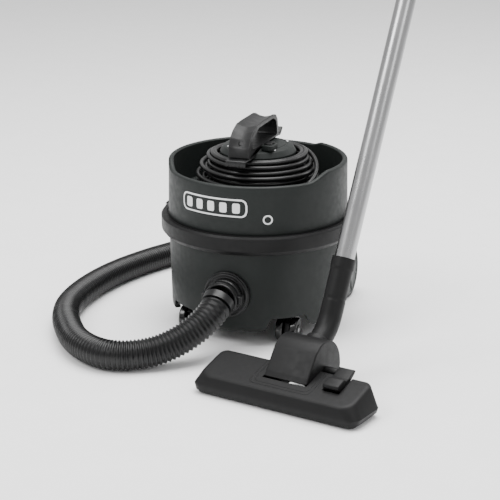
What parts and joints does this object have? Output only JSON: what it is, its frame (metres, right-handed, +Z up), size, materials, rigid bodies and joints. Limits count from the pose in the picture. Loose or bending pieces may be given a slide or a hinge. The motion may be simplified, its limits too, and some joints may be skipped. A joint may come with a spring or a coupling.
{
  "type": "tub vacuum cleaner",
  "caption": "Commercial tub vacuum cleaner on casters and large rear wheels, with ribbed hose, steel wand and swivelling combination floor tool.",
  "frame": {"origin": "on the floor, at the middle of the machine, tool and wand together, without the hose and the cord", "axes": "+Z up; the machine's inlet and casters face -Y; the floor tool stands on the +X side; the wand is the tallest part, along +Z"},
  "size_m": [0.727, 1.2813, 1.0253],
  "materials": {
    "charcoal_plastic": "fine moulded grain",
    "dark_grey_plastic": "fine moulded grain",
    "handle_grey_plastic": "fine moulded grain",
    "wheel_grey_plastic": "smooth moulded",
    "black_plastic": "semi-gloss moulded",
    "black_rubber": "matt",
    "tyre_rubber": "matt",
    "hose_plastic": "semi-gloss ribbed",
    "cord_sheath": "satin",
    "satin_steel": "satin",
    "bag_fleece": "soft",
    "bristle": "dense bristle",
    "copper_winding": "enamelled wire"
  },
  "bodies": {
    "machine": {"drum": "charcoal_plastic", "inlet_flange": "black_plastic", "axle_housing": "dark_grey_plastic", "rear_axle": "satin_steel", "dust_bag": "bag_fleece", "cloth_filter": "bag_fleece", "suction_hose": "hose_plastic", "hose_cuff": "black_plastic", "hand_tube": "satin_steel"},
    "head": {"head_chassis": "dark_grey_plastic", "head_shell": "charcoal_plastic", "exhaust_grille": "black_plastic", "motor_dome": "charcoal_plastic", "carry_handle": "handle_grey_plastic", "cord_tab_front": "black_plastic", "fan_case": "satin_steel", "motor_can": "satin_steel", "clip_pin_left": "satin_steel", "clip_pin_right": "satin_steel", "mains_cord_coil": "cord_sheath", "cord_strain_relief": "black_rubber", "mains_cord_lead": "cord_sheath", "mains_plug": "black_plastic"},
    "fan": {"fan_impeller": "satin_steel", "armature": "copper_winding"},
    "clip_left": {"lid_clip_left": "dark_grey_plastic"},
    "clip_right": {"lid_clip_right": "dark_grey_plastic"},
    "rocker": {"rocker_switch": "handle_grey_plastic"},
    "collar": {"hose_collar": "black_plastic"},
    "caster_left": {"caster_body_left": "black_plastic", "caster_axle_left": "satin_steel"},
    "caster_right": {"caster_body_right": "black_plastic", "caster_axle_right": "satin_steel"},
    "caster_wheel_left_left": {"caster_wheel_left_left": "black_plastic"},
    "caster_wheel_left_right": {"caster_wheel_left_right": "black_plastic"},
    "caster_wheel_right_left": {"caster_wheel_right_left": "black_plastic"},
    "caster_wheel_right_right": {"caster_wheel_right_right": "black_plastic"},
    "rear_wheel_left": {"rear_wheel_left": "wheel_grey_plastic", "rear_tyre_left": "tyre_rubber"},
    "rear_wheel_right": {"rear_wheel_right": "wheel_grey_plastic", "rear_tyre_right": "tyre_rubber"},
    "tool": {"tool_shell": "dark_grey_plastic", "sole_plate": "satin_steel", "hinge_pin_left": "satin_steel", "hinge_pin_right": "satin_steel", "knuckle_cradle": "black_plastic", "pedal_pin": "satin_steel"},
    "brushes": {"brush_strip_front": "bristle", "brush_strip_rear": "bristle", "brush_lifter": "black_plastic"},
    "pedal": {"brush_pedal": "dark_grey_plastic"},
    "knuckle": {"knuckle_hood": "dark_grey_plastic"},
    "neck": {"neck_elbow": "dark_grey_plastic", "parking_hook": "black_plastic"},
    "wand_lower": {"wand_tube_lower": "satin_steel"},
    "wand_upper": {"wand_tube_upper": "satin_steel"},
    "tool_wheel_left": {"tool_wheel_left": "black_rubber"},
    "tool_wheel_right": {"tool_wheel_right": "black_rubber"},
    "air_ring": {"air_slide": "black_plastic"}
  },
  "joints": [
    {"name": "head_lift", "type": "slide", "parent": "machine", "child": "head", "axis": [0, 0, 1], "range_m": [0, 0.3]},
    {"name": "fan_spin", "type": "hinge", "parent": "head", "child": "fan", "pos_m": [-0.0706, 0.0834, 0.22], "axis": [0, 0, 1], "continuous": true},
    {"name": "clip_left_swing", "type": "hinge", "parent": "head", "child": "clip_left", "pos_m": [-0.23112, 0.1117, 0.179], "axis": [0.1736, 0.9848, 0], "range_deg": [0, 80]},
    {"name": "clip_right_swing", "type": "hinge", "parent": "head", "child": "clip_right", "pos_m": [0.08992, 0.1117, 0.179], "axis": [0.1736, -0.9848, 0], "range_deg": [0, 80]},
    {"name": "rocker_tip", "type": "hinge", "parent": "head", "child": "rocker", "pos_m": [-0.0396, 0.0504, 0.307], "axis": [1, 0, 0], "range_deg": [-7, 7]},
    {"name": "collar_turn", "type": "hinge", "parent": "machine", "child": "collar", "pos_m": [-0.0706, -0.0816, 0.0885], "axis": [0, -1, 0], "range_deg": [0, 35]},
    {"name": "caster_left_swivel", "type": "hinge", "parent": "machine", "child": "caster_left", "pos_m": [-0.1532, 0.0092, 0.05], "axis": [0, 0, 1], "continuous": true},
    {"name": "caster_left_left_spin", "type": "hinge", "parent": "caster_left", "child": "caster_wheel_left_left", "pos_m": [-0.16475, -0.0028, 0.0202], "axis": [1, 0, 0], "continuous": true},
    {"name": "caster_left_right_spin", "type": "hinge", "parent": "caster_left", "child": "caster_wheel_left_right", "pos_m": [-0.14165, -0.0028, 0.0202], "axis": [1, 0, 0], "continuous": true},
    {"name": "caster_right_swivel", "type": "hinge", "parent": "machine", "child": "caster_right", "pos_m": [0.012, 0.0092, 0.05], "axis": [0, 0, 1], "continuous": true},
    {"name": "caster_right_left_spin", "type": "hinge", "parent": "caster_right", "child": "caster_wheel_right_left", "pos_m": [0.00045, -0.0028, 0.0202], "axis": [1, 0, 0], "continuous": true},
    {"name": "caster_right_right_spin", "type": "hinge", "parent": "caster_right", "child": "caster_wheel_right_right", "pos_m": [0.02355, -0.0028, 0.0202], "axis": [1, 0, 0], "continuous": true},
    {"name": "rear_wheel_left_spin", "type": "hinge", "parent": "machine", "child": "rear_wheel_left", "pos_m": [-0.1766, 0.2364, 0.0465], "axis": [1, 0, 0], "continuous": true},
    {"name": "rear_wheel_right_spin", "type": "hinge", "parent": "machine", "child": "rear_wheel_right", "pos_m": [0.0354, 0.2364, 0.0465], "axis": [1, 0, 0], "continuous": true},
    {"name": "tool_roll", "type": "slide", "parent": "machine", "child": "tool", "axis": [-0.2266, -0.974, 0], "range_m": [0, 0.25]},
    {"name": "knuckle_tilt", "type": "hinge", "parent": "tool", "child": "knuckle", "pos_m": [0.10434, -0.20635, 0.045], "axis": [0.974, -0.2266, 0], "range_deg": [-30, 25]},
    {"name": "neck_swivel", "type": "hinge", "parent": "knuckle", "child": "neck", "pos_m": [0.10434, -0.20635, 0.045], "axis": [0.1963, 0.8435, 0.5], "range_deg": [-12, 75]},
    {"name": "wand_pull", "type": "slide", "parent": "neck", "child": "wand_lower", "axis": [0.0994, 0.427, 0.8988], "range_m": [0, 0.06]},
    {"name": "upper_tube_pull", "type": "slide", "parent": "wand_lower", "child": "wand_upper", "axis": [0.0994, 0.427, 0.8988], "range_m": [0, 0.045]},
    {"name": "pedal_rock", "type": "hinge", "parent": "tool", "child": "pedal", "pos_m": [0.17133, -0.25376, 0.041], "axis": [0.974, -0.2266, 0], "range_deg": [0, 8]},
    {"name": "brush_drop", "type": "slide", "parent": "tool", "child": "brushes", "axis": [0, 0, -1], "range_m": [0, 0.003]},
    {"name": "tool_wheel_left_spin", "type": "hinge", "parent": "tool", "child": "tool_wheel_left", "pos_m": [0.04526, -0.19106, 0.0105], "axis": [0.974, -0.2266, 0], "continuous": true},
    {"name": "tool_wheel_right_spin", "type": "hinge", "parent": "tool", "child": "tool_wheel_right", "pos_m": [0.16409, -0.21871, 0.0105], "axis": [0.974, -0.2266, 0], "continuous": true},
    {"name": "air_ring_slide", "type": "slide", "parent": "machine", "child": "air_ring", "axis": [-0.7314, 0.682, 0], "range_m": [0, 0.018]}
  ],
  "couplings": [
    {"joint": "brush_drop", "follows": "pedal_rock", "m_per_rad": 0.021}
  ]
}
